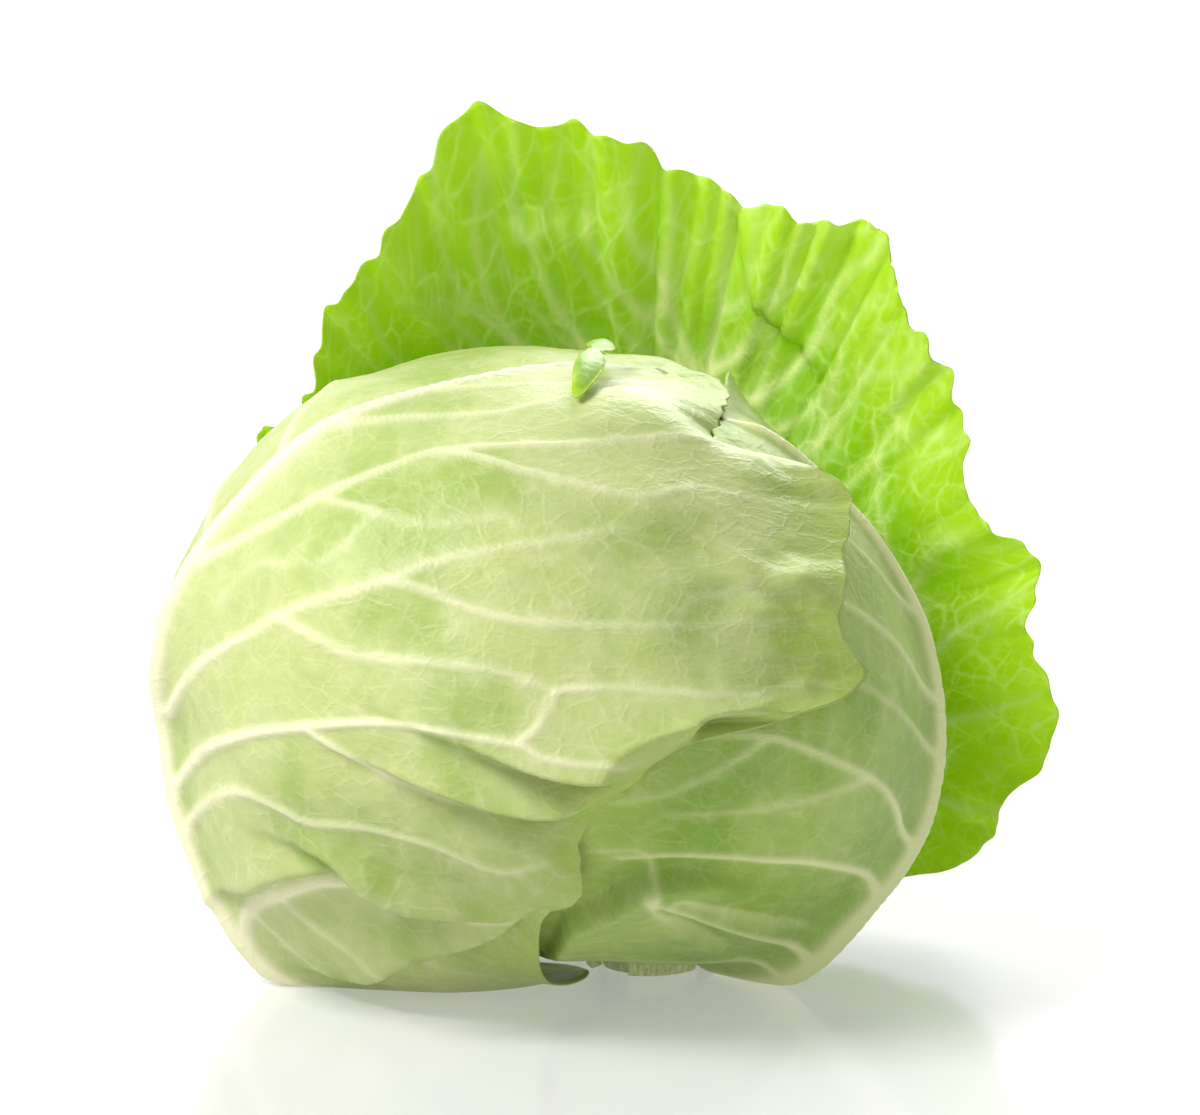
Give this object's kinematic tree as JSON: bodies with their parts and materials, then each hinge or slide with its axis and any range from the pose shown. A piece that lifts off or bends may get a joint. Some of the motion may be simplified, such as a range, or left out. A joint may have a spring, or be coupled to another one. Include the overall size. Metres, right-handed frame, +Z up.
{
  "type": "cabbage head",
  "caption": "Flat-headed green cabbage on its cut stalk, wrapped in broad ribbed leaves, with a loose ruffled outer leaf standing behind.",
  "frame": {"origin": "centre of the stalk's cut face, on the surface the head stands on", "axes": "+Z up; -Y is the front, where the wide wrapper leaf shows; +X is to the right of the front, where the loose leaf stands out"},
  "size_m": [0.2392, 0.2139, 0.2252],
  "materials": {
    "inner_leaf": "pale tightly packed leaf",
    "waxy_leaf": "pale green leaf with a waxy bloom and cream ribs",
    "bright_leaf": "thin bright yellow-green leaf that lets light through",
    "stalk": "pale moist cut plant stalk"
  },
  "bodies": {
    "root": {"heart": "inner_leaf", "inner_leaf_back": "inner_leaf", "inner_leaf_front": "inner_leaf", "wrapper_leaf_right": "waxy_leaf", "wrapper_leaf_front": "waxy_leaf", "loose_leaf": "bright_leaf", "torn_leaf_strip": "bright_leaf", "stalk": "stalk", "leaf_stub_front": "stalk", "leaf_stub_left": "stalk", "leaf_stub_back": "stalk"}
  },
  "joints": []
}
